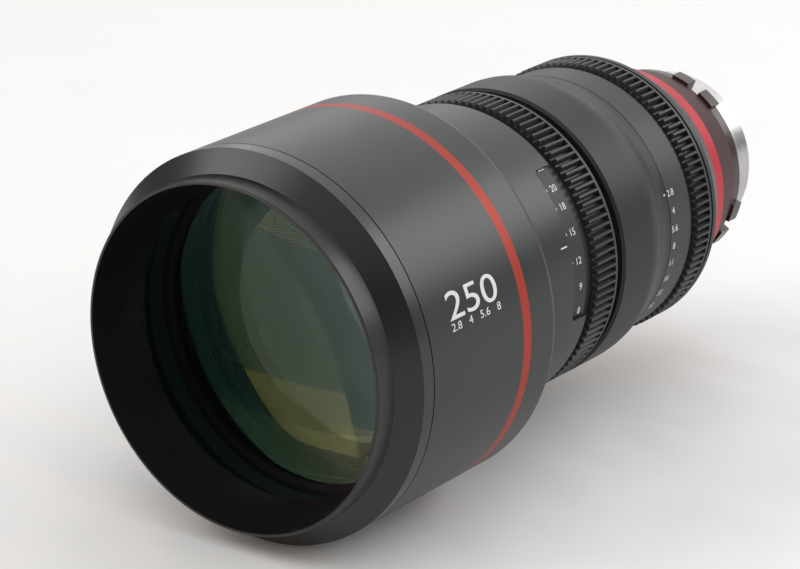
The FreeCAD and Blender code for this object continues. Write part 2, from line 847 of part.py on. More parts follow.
# Flange with four notched lugs and the spigot that enters the camera
mount = turned(
    (spigot_radius - mount_wall, -spigot_length),
    (spigot_radius - spigot_chamfer, -spigot_length),
    (spigot_radius, -spigot_length + spigot_chamfer),
    (spigot_radius, 0),
    (flange_radius, 0),
    (flange_radius, flange_front),
    (spigot_radius - mount_wall, flange_front),
)
for index in range(lug_count):
    middle = lug_first + full_turn * index / lug_count
    lug_piece = sector(
        flange_radius - overcut, lug_radius, 0, flange_front,
        middle - 0.5 * lug_width, middle + 0.5 * lug_width,
    )
    mount = mount.fuse(lug_piece)
mount = mount.removeSplitter()
for index in range(lug_count):
    middle = lug_first + full_turn * index / lug_count
    notch = sector(
        lug_radius - notch_depth, lug_radius + overcut, -overcut, flange_front + overcut,
        middle - 0.5 * notch_width, middle + 0.5 * notch_width,
    )
    mount = mount.cut(notch)
screw_start = lug_first + 180.0 / lug_count
screws = []
shim = tube(spigot_radius - mount_wall, nose_end_radius, flange_front, nose_rear)
for index in range(mount_screw_count):
    angle = screw_start + full_turn * index / mount_screw_count
    end = mount_screw_length
    hole = axial_pin(
        mount_screw_radius + seat_gap, mount_screw_circle, -overcut, end + end_gap, angle
    )
    sink = Part.makeCone(
        mount_screw_head_radius + seat_gap, mount_screw_radius + seat_gap,
        mount_screw_head_radius - mount_screw_radius, Vector(0, 0, mount_screw_circle), axis,
    )
    head = Part.makeCone(
        mount_screw_head_radius - seat_gap, mount_screw_radius,
        mount_screw_head_radius - mount_screw_radius, Vector(0, 0, mount_screw_circle), axis,
    )
    shank = axial_pin(
        mount_screw_radius, mount_screw_circle, mount_screw_head_radius - mount_screw_radius, end, angle
    )
    mount = mount.cut(hole).cut(turn(sink, angle))
    shim = shim.cut(hole)
    tube_solid = tube_solid.cut(hole)
    screws.append(turn(head, angle).fuse(shank).removeSplitter())
parts["mount_flange"] = mount
parts["mount_shim"] = shim
parts["mount_screws"] = together(screws)
parts["rear_tube"] = tube_solid
parts["shoulder_barrel"] = shoulder.cut(pin_hole)

# Bevel ring and red ring behind the iris ring
parts["rear_bevel_ring"] = turned(
    (tube_nose_radius + seat_gap, bevel_rear),
    (bevel_small_radius + bevel_lip, bevel_rear),
    (iris_tip_radius, bevel_front - iris_shoulder_length),
    (iris_tip_radius, bevel_front),
    (tube_nose_radius + seat_gap, bevel_front),
)
parts["rear_accent_ring"] = turned(
    (tube_nose_radius + seat_gap, accent_rear),
    (bevel_small_radius - accent_taper, accent_rear),
    (bevel_small_radius, bevel_rear),
    (tube_nose_radius + seat_gap, bevel_rear),
)

# Iris ring turns on the rear tube and drives the rotor through a post
iris_bore = tube_radius + run_gap
iris_blank = turned(
    (iris_bore, iris_rear),
    (iris_tip_radius - iris_corner, iris_rear),
    (iris_tip_radius, iris_rear + iris_corner),
    (iris_tip_radius, iris_teeth_rear),
    (iris_neck_radius - tooth_root_step, iris_teeth_rear),
    (iris_neck_radius - tooth_root_step, iris_teeth_front),
    (iris_neck_radius, iris_teeth_front),
    (iris_neck_radius, iris_groove_front),
    (rear_waist_radius, iris_groove_front),
    (rear_waist_radius, iris_front),
    (iris_bore, iris_front),
)
iris_teeth = gear_teeth(iris_gear_teeth, iris_teeth_rear, iris_teeth_front, iris_neck_radius - tooth_root_step)
iris_ring = iris_blank.fuse(iris_teeth).removeSplitter()
post_hole_outer = iris_neck_radius + end_gap
iris_ring = iris_ring.cut(radial_pin(
    post_radius + seat_gap, iris_bore - overcut, post_hole_outer, post_y, post_start
))
parts["iris_gear"] = iris_ring


# Blade: an arc band round the open aperture, an ear outside it, and two pins
def blade_pin_place(turned_by):
    """Drive pin place, as radius and angle, after the blade has turned about its pivot."""
    # the arm points backwards along the rim from the pivot and swings outwards
    swing = math.radians(turned_by)
    along = -blade_drive_arm * math.cos(swing)
    outward = blade_pivot_radius + blade_drive_arm * math.sin(swing)
    return math.hypot(along, outward), math.degrees(math.atan2(along, outward))


def plate(points, rear, thick):
    """Flat plate from (sideways, outward) points, seen along the axis."""
    corners = [Vector(side, rear, out) for side, out in points]
    return Part.Face(Part.makePolygon(corners + [corners[0]])).extrude(Vector(0, thick, 0))


def blade(layer):
    rear = blade_stack_rear + layer * blade_spacing
    front = rear + blade_thick
    band = sector(blade_inner, blade_outer, rear, front, 0.0, blade_sweep)
    start = Vector(0, rear, 0.5 * (blade_inner + blade_outer))
    tip = Part.makeCylinder(0.5 * (blade_outer - blade_inner), blade_thick, start, axis)
    band = band.fuse(tip)
    ear = axial_pin(blade_ear_radius, blade_pivot_radius, rear, front)
    arm_end = Part.makeCylinder(
        blade_ear_radius, blade_thick, Vector(-blade_drive_arm, rear, blade_pivot_radius), axis
    )
    arm = plate(
        (
            (-blade_drive_arm, blade_pivot_radius - blade_ear_radius),
            (0.0, blade_pivot_radius - blade_ear_radius),
            (0.0, blade_pivot_radius + blade_ear_radius),
            (-blade_drive_arm, blade_pivot_radius + blade_ear_radius),
        ),
        rear, blade_thick,
    )
    neck = plate(
        (
            (-blade_ear_radius, blade_neck_inner),
            (blade_ear_radius, blade_neck_inner),
            (blade_ear_radius, blade_pivot_radius),
            (-blade_ear_radius, blade_pivot_radius),
        ),
        rear, blade_thick,
    )
    pivot = axial_pin(blade_pin_radius, blade_pivot_radius, web_front + end_gap, rear)
    drive = Part.makeCylinder(
        blade_pin_radius, rotor_front - end_gap - front, Vector(-blade_drive_arm, front, blade_pivot_radius), axis
    )
    whole = band
    for piece in (ear, arm_end, arm, neck, pivot, drive):
        whole = whole.fuse(piece)
    return whole.removeSplitter()


blade_step = full_turn / blade_count
for index in range(blade_count):
    parts["iris_blade_%d" % (index + 1)] = turn(blade(index), index * blade_step)

iris_plate_radius = tube_bore - seat_gap
base = tube(iris_open_radius, iris_plate_radius, web_front, base_front)
for index in range(blade_count):
    base = base.cut(axial_pin(
        blade_pin_radius + run_gap, blade_pivot_radius, web_front - overcut, base_front + overcut, index * blade_step
    ))
parts["iris_base"] = base


# Rotor: each slot follows the drive pin at a constant ratio to the ring
def rotor_slot():
    half = blade_pin_radius + run_gap
    depth = rotor_thick + 2 * overcut
    centres = []
    for step in range(-1, slot_points + 2):
        share = step / slot_points
        radius, angle = blade_pin_place(blade_turn * share)
        seen = math.radians(angle - iris_turn * share)
        centres.append((radius * math.sin(seen), radius * math.cos(seen)))
    left = []
    right = []
    for before, here, after in zip(centres, centres[1:], centres[2:]):
        run_x = after[0] - before[0]
        run_z = after[1] - before[1]
        size = math.hypot(run_x, run_z)
        left.append((here[0] - half * run_z / size, here[1] + half * run_x / size))
        right.append((here[0] + half * run_z / size, here[1] - half * run_x / size))
    tool = plate(left + right[::-1], rotor_rear - overcut, depth)
    for side, out in (centres[1], centres[-2]):
        tool = tool.fuse(Part.makeCylinder(half, depth, Vector(side, rotor_rear - overcut, out), axis))
    return tool


rotor = tube(rotor_bore, tube_bore - run_gap, rotor_rear, rotor_front)
path_slot = rotor_slot()
for index in range(blade_count):
    rotor = rotor.cut(turn(path_slot, index * blade_step))
post_inner = tube_bore - post_depth
rotor = rotor.cut(radial_pin(
    post_radius + seat_gap, post_inner, tube_bore + overcut, post_y, post_start
))
parts["iris_rotor"] = rotor
parts["iris_drive_post"] = radial_pin(post_radius, post_inner, post_hole_outer - seat_gap, post_y, post_start)
parts["iris_retainer"] = tube(
    iris_retainer_bore, iris_plate_radius, rotor_front + body_gap,
    rotor_front + body_gap + iris_retainer_thick,
)

# Rear cell: carries two elements from the rear tube into the spigot
rear_glass_radius = rear_cell_radius - rear_cell_wall - seat_gap
inner_rear = rear_glass_seat
inner_front = inner_rear + rear_glass_edge
rear_bore_radius = rear_glass_radius + seat_gap
rear_seat_radius = rear_glass_radius - rear_lens_lip
outer_rear = rear_outer_seat
outer_front = outer_rear + rear_outer_thick
outer_seat = outer_front + rise(rear_outer_curve, rear_glass_radius, rear_seat_radius)
parts["rear_cell"] = turned(
    (rear_bore_radius, rear_cell_rear),
    (rear_cell_radius, rear_cell_rear),
    (rear_cell_radius, rear_cell_front),
    (rear_bore_radius, rear_cell_front),
    (rear_bore_radius, inner_rear),
    (rear_seat_radius, inner_rear),
    (rear_seat_radius, outer_seat),
    (rear_bore_radius, outer_seat),
)
parts["rear_inner_element"] = lens(
    rear_glass_radius, inner_rear, inner_front,
    -sag(rear_inner_curve, rear_glass_radius), sag(rear_inner_front_curve, rear_glass_radius),
)
parts["rear_outer_element"] = lens(
    rear_glass_radius, outer_rear, outer_front,
    sag(rear_outer_back_curve, rear_glass_radius), sag(rear_outer_curve, rear_glass_radius),
)
inner_clamp = inner_front + rise(rear_inner_front_curve, rear_glass_radius, baffle_bore)
parts["rear_inner_retainer"] = tube(
    baffle_bore, rear_glass_radius, inner_clamp, inner_clamp + rear_retainer_thick
)
outer_clamp = outer_rear - rise(rear_outer_back_curve, rear_glass_radius, baffle_bore)
parts["rear_outer_retainer"] = tube(
    baffle_bore, rear_glass_radius, outer_clamp - rear_retainer_thick, outer_clamp
)
parts["rear_baffle"] = turned(
    (baffle_bore, rear_cell_rear - baffle_thick),
    (rear_cell_radius, rear_cell_rear - baffle_thick),
    (rear_cell_radius, rear_cell_rear),
    (baffle_bore + baffle_taper, rear_cell_rear),
)

for name, shape in parts.items():
    if not shape.isValid():
        print("not valid:", name)
    shape.exportStep("parts/%s.step" % name)
print("pieces", len(parts), "length", hood_front + spigot_length)
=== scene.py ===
import math

import bpy
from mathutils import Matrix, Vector


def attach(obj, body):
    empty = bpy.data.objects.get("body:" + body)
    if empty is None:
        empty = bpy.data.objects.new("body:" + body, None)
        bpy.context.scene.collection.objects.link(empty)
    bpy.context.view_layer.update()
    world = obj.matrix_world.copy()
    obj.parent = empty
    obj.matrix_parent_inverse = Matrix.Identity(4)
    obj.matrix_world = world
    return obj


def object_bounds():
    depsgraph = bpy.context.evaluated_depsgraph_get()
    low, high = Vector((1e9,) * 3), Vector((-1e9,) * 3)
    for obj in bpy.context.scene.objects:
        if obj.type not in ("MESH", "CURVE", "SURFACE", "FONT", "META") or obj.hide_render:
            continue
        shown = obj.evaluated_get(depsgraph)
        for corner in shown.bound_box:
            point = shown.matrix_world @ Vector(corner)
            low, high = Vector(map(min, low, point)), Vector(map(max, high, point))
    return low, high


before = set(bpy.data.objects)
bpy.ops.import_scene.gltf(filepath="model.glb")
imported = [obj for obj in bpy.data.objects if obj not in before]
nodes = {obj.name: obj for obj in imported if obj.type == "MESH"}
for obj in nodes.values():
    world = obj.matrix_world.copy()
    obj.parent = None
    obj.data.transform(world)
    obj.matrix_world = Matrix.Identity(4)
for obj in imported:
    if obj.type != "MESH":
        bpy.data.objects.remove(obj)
cad_low, cad_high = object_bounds()

# The viewpoint of the photograph: from the front left of the lens and above it, with a
# long lens, so that the big barrel hardly narrows towards the rear. The optical axis
# is Y, the lens lies on its big barrel, and the camera looks down at it without a roll.
viewpoint = (-0.5338, 0.8559, 0.3313)
view_direction = Vector((0.55965, -0.75206, -0.34812))
bpy.ops.object.camera_add(location=viewpoint)
camera = bpy.context.object
camera.name = "photo_camera"
camera.rotation_mode = "QUATERNION"
camera.rotation_quaternion = view_direction.to_track_quat("-Z", "Y")
camera.data.sensor_width = 36.0
camera.data.lens = 148.5
camera.data.clip_start = 0.05
camera.data.clip_end = 50.0
bpy.context.scene.camera = camera


# Tubes, cells and retainers inside the lens, with the rings of the iris: turned metal, dyed
# matt black so that they throw no light back. The slots of the cam sleeve and of the guide
# barrel are polished in the real one, but all of it sits in the dark behind the glass.
class Wire:
    """A shader socket that can be used in sums, so that a formula adds its own nodes."""

    def __init__(self, finish, socket):
        self.finish = finish
        self.socket = socket

    def worked(self, operation, first, second=0.0):
        return self.finish.node("ShaderNodeMath", {"operation": operation}, {0: first, 1: second})

    def __add__(self, other):
        return self.worked("ADD", self, other)

    def __radd__(self, other):
        return self.worked("ADD", other, self)

    def __sub__(self, other):
        return self.worked("SUBTRACT", self, other)

    def __rsub__(self, other):
        return self.worked("SUBTRACT", other, self)

    def __mul__(self, other):
        return self.worked("MULTIPLY", self, other)

    def __truediv__(self, other):
        return self.worked("DIVIDE", self, other)

    def root(self):
        return self.worked("SQRT", self)

    def past(self, limit, soft):
        """0 before a limit and 1 past it, with a soft step between them."""
        step = self.worked("MINIMUM", (self - limit) / soft, 1.0)
        return self.worked("MAXIMUM", step, 0.0)


class Finish:
    """A material that is put together node by node round one surface shader."""

    def __init__(self, name):
        self.material = bpy.data.materials.new(name)
        self.material.use_nodes = True
        self.tree = self.material.node_tree
        self.tree.nodes.clear()

    def node(self, kind, settings=None, sockets=None, output=0):
        """Adds a node. A wire is linked to its socket, and a colour gets its alpha."""
        made = self.tree.nodes.new(kind)
        for name, value in (settings or {}).items():
            setattr(made, name, value)
        for name, value in (sockets or {}).items():
            if isinstance(value, Wire):
                self.tree.links.new(value.socket, made.inputs[name])
            elif hasattr(made.inputs[name].default_value, "__len__") and len(value) == 3:
                size = len(made.inputs[name].default_value)
                made.inputs[name].default_value = (*value, 1.0)[:size]
            else:
                made.inputs[name].default_value = value
        return Wire(self, made.outputs[output])

    def place(self):
        return self.node("ShaderNodeTexCoord", output="Object")

    def noise(self, scale, detail=2.0, stretch=(1.0, 1.0, 1.0)):
        where = self.node("ShaderNodeMapping", {}, {"Vector": self.place(), "Scale": stretch})
        sockets = {"Vector": where, "Scale": scale, "Detail": detail}
        return self.node("ShaderNodeTexNoise", {}, sockets)

    def along(self):
        """Place along the optical axis, in metres."""
        return self.node("ShaderNodeSeparateXYZ", {}, {"Vector": self.place()}, output="Y")

    def radius(self):
        """Distance from the optical axis, in metres."""
        place = self.place()
        across = self.node("ShaderNodeSeparateXYZ", {}, {"Vector": place}, output="X")
        upward = self.node("ShaderNodeSeparateXYZ", {}, {"Vector": place}, output="Z")
        return (across * across + upward * upward).root()

    def turning(self, pitch):
        """Fine rings left by a lathe tool, on faces of any slope."""
        turns = {"X": self.radius() / pitch, "Y": self.along() / pitch}
        rings = self.node("ShaderNodeCombineXYZ", {}, turns)
        return self.node("ShaderNodeTexNoise", {}, {"Vector": rings, "Scale": 1.0, "Detail": 3.0})

    def mix(self, factor, first, second):
        """A mix of two colours; sockets 6 and 7 and output 2 are the node's colours."""
        settings = {"data_type": "RGBA", "blend_type": "MIX"}
        return self.node("ShaderNodeMix", settings, {"Factor": factor, 6: first, 7: second}, output=2)

    def bump(self, height, strength, distance):
        sockets = {"Height": height, "Strength": strength, "Distance": distance}
        return self.node("ShaderNodeBump", {}, sockets)

    def surface(self, **sockets):
        named = {name.replace("_", " "): value for name, value in sockets.items()}
        self.close(self.node("ShaderNodeBsdfPrincipled", {}, named))

    def close(self, shader):
        end = self.tree.nodes.new("ShaderNodeOutputMaterial")
        self.tree.links.new(shader.socket, end.inputs["Surface"])


def dress(finish, *names):
    """Gives CAD pieces a finish."""
    for name in names:
        mesh = nodes[name].data
        mesh.materials.clear()
        mesh.materials.append(finish.material)


def blacked(name, colour, rough, grain, shine=0.5):
    """Black dyed aluminium: an even skin with a fine grain and a slight cloudiness."""
    finish = Finish(name)
    cloud = finish.noise(scale=28.0, detail=3.0)
    skin = finish.noise(scale=grain)
    finish.surface(
        Base_Color=finish.mix(cloud, [c * 0.86 for c in colour], [c * 1.14 for c in colour]),
        Roughness=rough + (cloud - 0.5) * 0.08 + (skin - 0.5) * 0.10,
        Specular_IOR_Level=shine,
        Normal=finish.bump(skin, strength=0.12, distance=0.00005),
    )
    return finish


inside = blacked("matt_black_inside", (0.003, 0.003, 0.0034), rough=0.85, grain=5200.0, shine=0.2)
dress(
    inside,
    "guide_barrel",
    "cam_sleeve",
    "cell_retainer",
    "focus_cell",
    "focus_spacer",
    "focus_retainer",
    "rear_cell",
    "rear_inner_retainer",
    "iris_base",
    "iris_rotor",
    "iris_retainer",
    "rear_outer_retainer",
    "rear_baffle",
)

# Front cell: the tube that carries the doublet behind the front glass. Its bore is black, but it is
# given a blue-green black, a painted reflection of the teal cast that the coatings of the glass lay
# over it.
teal_painted_cell_colour = (0.006, 0.015, 0.014)
cell_black_with_painted_teal = blacked("black_cell_painted_teal", teal_painted_cell_colour, rough=0.70, grain=3800.0, shine=0.2)
dress(cell_black_with_painted_teal, "front_cell")

# Bushings and rollers of the focus cam: turned brass rings, and black acetal rollers that
# ride in the slots. The pins and screws that hold the barrels are plain steel.
brass = Finish("turned_brass")
brass_rings = brass.turning(pitch=0.00012)
brass.surface(
    Base_Color=brass.mix(brass_rings, (0.56, 0.38, 0.13), (0.74, 0.55, 0.24)),
    Metallic=1.0,
    Roughness=0.26 + brass_rings * 0.16,
    Normal=brass.bump(brass_rings, strength=0.10, distance=0.00003),
)
dress(brass, "front_cam_bushing", "rear_cam_bushing")

acetal = Finish("black_acetal")
acetal_grain = acetal.noise(scale=1800.0)
acetal.surface(
    Base_Color=acetal.mix(acetal_grain, (0.012, 0.012, 0.013), (0.020, 0.020, 0.021)),
    Roughness=0.34 + acetal_grain * 0.12,
    Normal=acetal.bump(acetal_grain, strength=0.08, distance=0.00003),
)
dress(acetal, "focus_rollers")

steel = Finish("screw_steel")
steel_grain = steel.noise(scale=2600.0, detail=3.0)
steel.surface(
    Base_Color=steel.mix(steel_grain, (0.30, 0.30, 0.30), (0.46, 0.45, 0.44)),
    Metallic=1.0,
    Roughness=0.28 + steel_grain * 0.16,
)
dress(steel, "barrel_screws", "focus_stop_pin", "iris_drive_post", "focus_key_screws", "mount_screws")

# Iris blades: nine thin spring steel leaves, blued nearly black and slightly oily, with
# long rub marks where the next leaf slides over each one.
blued = Finish("blued_spring_steel")
rub = blued.turning(pitch=0.0004)
blued.surface(
    Base_Color=blued.mix(rub, (0.018, 0.019, 0.022), (0.045, 0.046, 0.050)),
    Metallic=0.85,
    Roughness=0.34 + rub * 0.18,
    Normal=blued.bump(rub, strength=0.08, distance=0.00002),
)
blade_count = 9
dress(blued, *["iris_blade_%d" % (index + 1) for index in range(blade_count)])


# Glass elements: polished optical glass with spherical faces. Each face has its own
# coating, which tints its reflection, and the cemented faces of the doublet hardly reflect
# at all. The ground edge of each element is painted black where it sits in its cell.
def glass(name, edge, index, tint, middle, front, rear):
    """Gives one element its glass, with a refractive index and a tint, and black paint
    outside its edge radius. Front and rear are the faces in front of and behind the place
    of its middle, each as its radius of curvature, which is negative for a hollow face,
    and its coating. The normals are those of the spheres."""
    finish = Finish("coated_" + name)
    near_axis = 0.0001
    places = [vertex.co for vertex in nodes[name].data.vertices]
    poles = [place.y for place in places if math.hypot(place.x, place.z) < near_axis]
    sides = []
    for pole, outward, (curve, coat) in ((min(poles), -1.0, rear), (max(poles), 1.0, front)):
        # The normal is the way from the sphere's centre over its radius, and the node that
        # takes it wants half of it plus a half, as in the colour of a normal map.
        centre = pole - outward * curve
        half = 0.5 / curve
        facing_colour = finish.node(
            "ShaderNodeVectorMath",
            {"operation": "MULTIPLY_ADD"},
            {0: finish.place(), 1: (half, half, half), 2: (0.5, 0.5 - half * centre, 0.5)},
        )
        facing = finish.node("ShaderNodeNormalMap", {"space": "OBJECT"}, {"Color": facing_colour})
        sockets = {
            "Base Color": tint,
            "Roughness": 0.0,
            "IOR": index,
            "Transmission Weight": 1.0,
            "Specular Tint": coat,
            "Normal": facing,
        }
        sides.append(finish.node("ShaderNodeBsdfPrincipled", {}, sockets))
    in_front = finish.along().past(middle, soft=0.0001)
    clear = finish.node("ShaderNodeMixShader", {}, {0: in_front, 1: sides[0], 2: sides[1]})
    paint = {"Base Color": (0.004, 0.004, 0.004), "Roughness": 0.8}
    painted = finish.node("ShaderNodeBsdfPrincipled", {}, paint)
    rim = finish.radius().past(edge, soft=0.0003)
    finish.close(finish.node("ShaderNodeMixShader", {}, {0: rim, 1: clear, 2: painted}))
    dress(finish, name)


outer_coat = (0.05, 0.11, 0.05)
teal_coat = (0.04, 0.17, 0.13)
green_coat = (0.27, 0.27, 0.08)
amber_coat = (0.50, 0.38, 0.15)
violet_coat = (0.16, 0.10, 0.26)
cement = (0.01, 0.01, 0.01)
front_tint = (0.93, 0.97, 0.96)
doublet_tint = (0.92, 0.97, 0.92)
focus_tint = (0.95, 0.96, 0.92)
rear_tint = (0.95, 0.96, 0.97)
front_edge = 0.0487
doublet_edge = 0.0452
focus_edge = 0.0309
rear_edge = 0.0228
# Name, edge radius, refractive index, tint, middle, front face and rear face.
elements = (
    ("front", front_edge, 1.62, front_tint, 0.1810, (0.140, outer_coat), (1.200, teal_coat)),
    ("flint", doublet_edge, 1.74, doublet_tint, 0.1645, (-0.900, teal_coat), (-0.600, cement)),
    ("crown", doublet_edge, 1.72, doublet_tint, 0.1585, (0.600, cement), (0.400, green_coat)),
    ("focus_front", focus_edge, 1.70, focus_tint, 0.1225, (-0.270, amber_coat), (-0.350, amber_coat)),
    ("focus_rear", focus_edge, 1.70, focus_tint, 0.1164, (-0.360, amber_coat), (-0.160, amber_coat)),
    ("rear_inner", rear_edge, 1.66, rear_tint, 0.0237, (0.240, violet_coat), (-0.080, violet_coat)),
    ("rear_outer", rear_edge, 1.66, rear_tint, 0.0030, (0.060, violet_coat), (0.240, violet_coat)),
)
for element, *make in elements:
    glass(element + "_element", *make)

# Rear tube: the nose in front of the flange is its turned end. Its black dye has the maroon
# cast that black anodising gets when it fades.
nose_colour = (0.048, 0.0150, 0.0140)
nose = blacked("maroon_black_nose", nose_colour, rough=0.48, grain=2600.0, shine=0.20)
dress(nose, "rear_tube")

# Lens mount: a stainless steel flange with four lugs and its spigot. The seat face and
# the spigot are lapped bright, so that light runs round them in fine rings. The side
# that faces forwards and the rim of the lugs are blackened like the nose beside them.
flange_steel = Finish("lapped_and_blackened_steel")
facing = flange_steel.turning(pitch=0.00016)
marks = flange_steel.noise(scale=300.0, detail=4.0)
blackened = flange_steel.along().past(0.0, soft=0.0001)
bright_steel = flange_steel.mix(marks, (0.40, 0.395, 0.39), (0.52, 0.515, 0.51))
flange_steel.surface(
    Base_Color=flange_steel.mix(blackened, bright_steel, (0.036, 0.016, 0.016)),
    Metallic=1.0 - blackened,
    Roughness=0.18 + facing * 0.14 + marks * 0.06,
    Normal=flange_steel.bump(facing, strength=0.10, distance=0.00003),
)
dress(flange_steel, "mount_flange", "mount_shim")

# Bevel ring and iris ring: black dyed aluminium. The iris ring has cut teeth, and its
# front band carries the stop figures, engraved and filled with white.
teeth_colour = (0.025, 0.027, 0.028)
teeth_black = blacked("satin_black_teeth", teeth_colour, rough=0.46, grain=3800.0, shine=0.40)
dress(teeth_black, "rear_bevel_ring", "iris_gear")

white_fill = Finish("white_engraving_fill")
fill_grain = white_fill.noise(scale=5000.0)
white_fill.surface(
    Base_Color=white_fill.mix(fill_grain, (0.60, 0.62, 0.61), (0.70, 0.72, 0.71)),
    Roughness=0.45 + fill_grain * 0.10,
)
# How far the paint stands out of the metal, how much of its font's size a figure fills,
# and how high the strips are in which it bends round the barrel.
fill_height = 0.00003
letter_share = 0.72
strip_height = 0.0008


def laid_on(piece, radius, along, angle, width, height):
    """Bends a flat mark onto a round barrel, reading from the front to the rear, and
    makes it width by height; along and angle are the middle of the mark."""
    places = [vertex.co.copy() for vertex in piece.data.vertices]
    low = Vector((min(p.x for p in places), min(p.y for p in places)))
    high = Vector((max(p.x for p in places), max(p.y for p in places)))
    middle = (low + high) / 2
    scale_x = width / (high.x - low.x)
    scale_y = height / (high.y - low.y)
    for vertex, place in zip(piece.data.vertices, places):
        across = (place.x - middle.x) * scale_x
        up = (place.y - middle.y) * scale_y
        turn = math.radians(angle) + up / radius
        out = radius + place.z
        vertex.co = (out * math.sin(turn), along - across, out * math.cos(turn))


def cut_across(piece, cuts):
    """Cuts a flat mark into strips, so that it bends without flat spots."""
    bpy.ops.object.select_all(action="DESELECT")
    piece.select_set(True)
    bpy.context.view_layer.objects.active = piece
    heights = [vertex.co.y for vertex in piece.data.vertices]
    low, high = min(heights), max(heights)
    bpy.ops.object.mode_set(mode="EDIT")
    for cut in range(1, cuts):
        level = low + (high - low) * cut / cuts
        bpy.ops.mesh.select_all(action="SELECT")
        bpy.ops.mesh.bisect(plane_co=(0.0, level, 0.0), plane_no=(0.0, 1.0, 0.0))
    bpy.ops.object.mode_set(mode="OBJECT")


def settled(piece, name, body, finish):
    """Names a finished mark, gives it its finish and lets it ride."""
    piece.name = name
    piece.data.name = name
    piece.data.materials.clear()
    piece.data.materials.append(finish.material)
    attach(piece, body)


def figures(name, words, radius, along, angle, height, body, width=None):
    """Figures engraved in a barrel and filled with paint, as one mesh."""
    bpy.ops.object.select_all(action="DESELECT")
    bpy.ops.object.text_add(location=(0.0, 0.0, 0.0))
    piece = bpy.context.object
    piece.data.body = words
    piece.data.size = height / letter_share
    piece.data.extrude = fill_height
    piece.data.resolution_u = 6
    bpy.ops.object.convert(target="MESH")
    piece = bpy.context.object
    size = piece.dimensions.copy()
    if width is None:
        width = size.x * height / size.y
    cut_across(piece, max(2, int(height / strip_height)))
    laid_on(piece, radius, along, angle, width, height)
    settled(piece, name, body, white_fill)


def dash(name, radius, along, angle, width, height, body, sides=4):
    """A short engraved line or dot, filled with paint."""
    bpy.ops.object.select_all(action="DESELECT")
    bpy.ops.mesh.primitive_circle_add(
        vertices=sides, radius=0.5, fill_type="NGON", rotation=(0.0, 0.0, math.pi / sides)
    )
    piece = bpy.context.object
    bpy.ops.object.transform_apply(location=True, rotation=True, scale=True)
    bpy.ops.object.mode_set(mode="EDIT")
    bpy.ops.mesh.select_all(action="SELECT")
    bpy.ops.mesh.extrude_region_move(TRANSFORM_OT_translate={"value": (0.0, 0.0, fill_height)})
    bpy.ops.object.mode_set(mode="OBJECT")
    laid_on(piece, radius, along, angle, width, height)
    settled(piece, name, body, white_fill)


stop_words = ("2.8", "4", "5.6", "8", "11", "16", "22", "32")
band_radius = 0.0422
stop_angle = -71.7
stop_step = -7.6
stop_along = 0.0570
stop_height = 0.0020
for index, word in enumerate(stop_words):
    place = stop_angle + stop_step * index
    name = "stop_figure_%d" % (index + 1)
    figures(name, word, band_radius, stop_along, place, stop_height, "iris_ring")

# Rear body: one turned black tube that swells forwards in an ogee. A white index line at
# its rear edge points at the stop figures of the iris ring.
body_colour = (0.0105, 0.0115, 0.0120)
body_black = blacked("satin_black_body", body_colour, rough=0.44, grain=3800.0, shine=0.32)
dress(body_black, "rear_body")
waist_radius = 0.04222
waist_along = 0.0612
line_length = 0.0028
line_width = 0.00042
dash("stop_index", waist_radius, waist_along, stop_angle, line_length, line_width, "barrel")

# Focus ring: black dyed aluminium with fine cut teeth for a follow focus drive. The
# drum in front of it carries the distance figures, which show in the sleeve's window.
dress(teeth_black, "focus_gear")
drum_black = blacked("matt_black_drum", (0.006, 0.0065, 0.007), rough=0.50, grain=3800.0)
dress(drum_black, "focus_scale_drum")
# The angle of each figure on the drum, in degrees, and its distance.
distances = (
    (78.0, "90"),
    (58.0, "60"),
    (41.0, "50"),
    (25.0, "45"),
    (10.0, "40"),
    (-5.0, "35"),
    (-19.0, "30"),
    (-31.0, "25"),
    (-41.5, "22"),
    (-50.6, "20"),
    (-58.2, "18"),
    (-68.3, "15"),
    (-79.3, "12"),
    (-89.3, "9"),
    (-99.0, "8"),
    (-110.0, "7"),
    (-123.0, "6"),
    (-138.0, "5"),
    (-156.0, "4"),
    (-175.0, "3.5"),
    (-192.0, "3"),
)
drum_radius = 0.0446
distance_along = 0.1115
distance_height = 0.0021
dot_along = 0.1150
dot_width = 0.0009
dot_sides = 16
for index, (place, word) in enumerate(distances):
    name = "distance_figure_%d" % (index + 1)
    figures(name, word, drum_radius, distance_along, place, distance_height, "focus_ring")
    name = "distance_dot_%d" % (index + 1)
    dash(name, drum_radius, dot_along, place, dot_width, dot_width, "focus_ring", dot_sides)

# Window sleeve: the slim fixed tube between the big barrel and the focus ring. A short
# white line in front of its window is the focus index.
barrel_colour = (0.0066, 0.0078, 0.0084)
barrel_black = blacked("satin_black_barrel", barrel_colour, rough=0.36, grain=3800.0)
dress(barrel_black, "window_sleeve")
sleeve_radius = 0.0457
sleeve_along = 0.1188
sleeve_angle = -72.0
line_length = 0.0030
line_width = 0.00045
dash("focus_index", sleeve_radius, sleeve_along, sleeve_angle, line_length, line_width, "barrel")

# Big barrel and its shoulder: bead blasted and dyed satin black, with the focal number
# in large white figures and a row of small stop figures under it.
dress(barrel_black, "shoulder_barrel", "front_barrel")
barrel_radius = 0.057
focal_along = 0.1782
focal_width = 0.0225
number_angle = -69.9
number_height = 0.0078
row_words = "2.8   4   5.6   8"
row_angle = -75.65
row_height = 0.0022
focal_marks = (
    ("focal_number", "250", number_angle, number_height),
    ("focal_row", row_words, row_angle, row_height),
)
for name, words, angle, height in focal_marks:
    figures(name, words, barrel_radius, focal_along, angle, height, "barrel", focal_width)

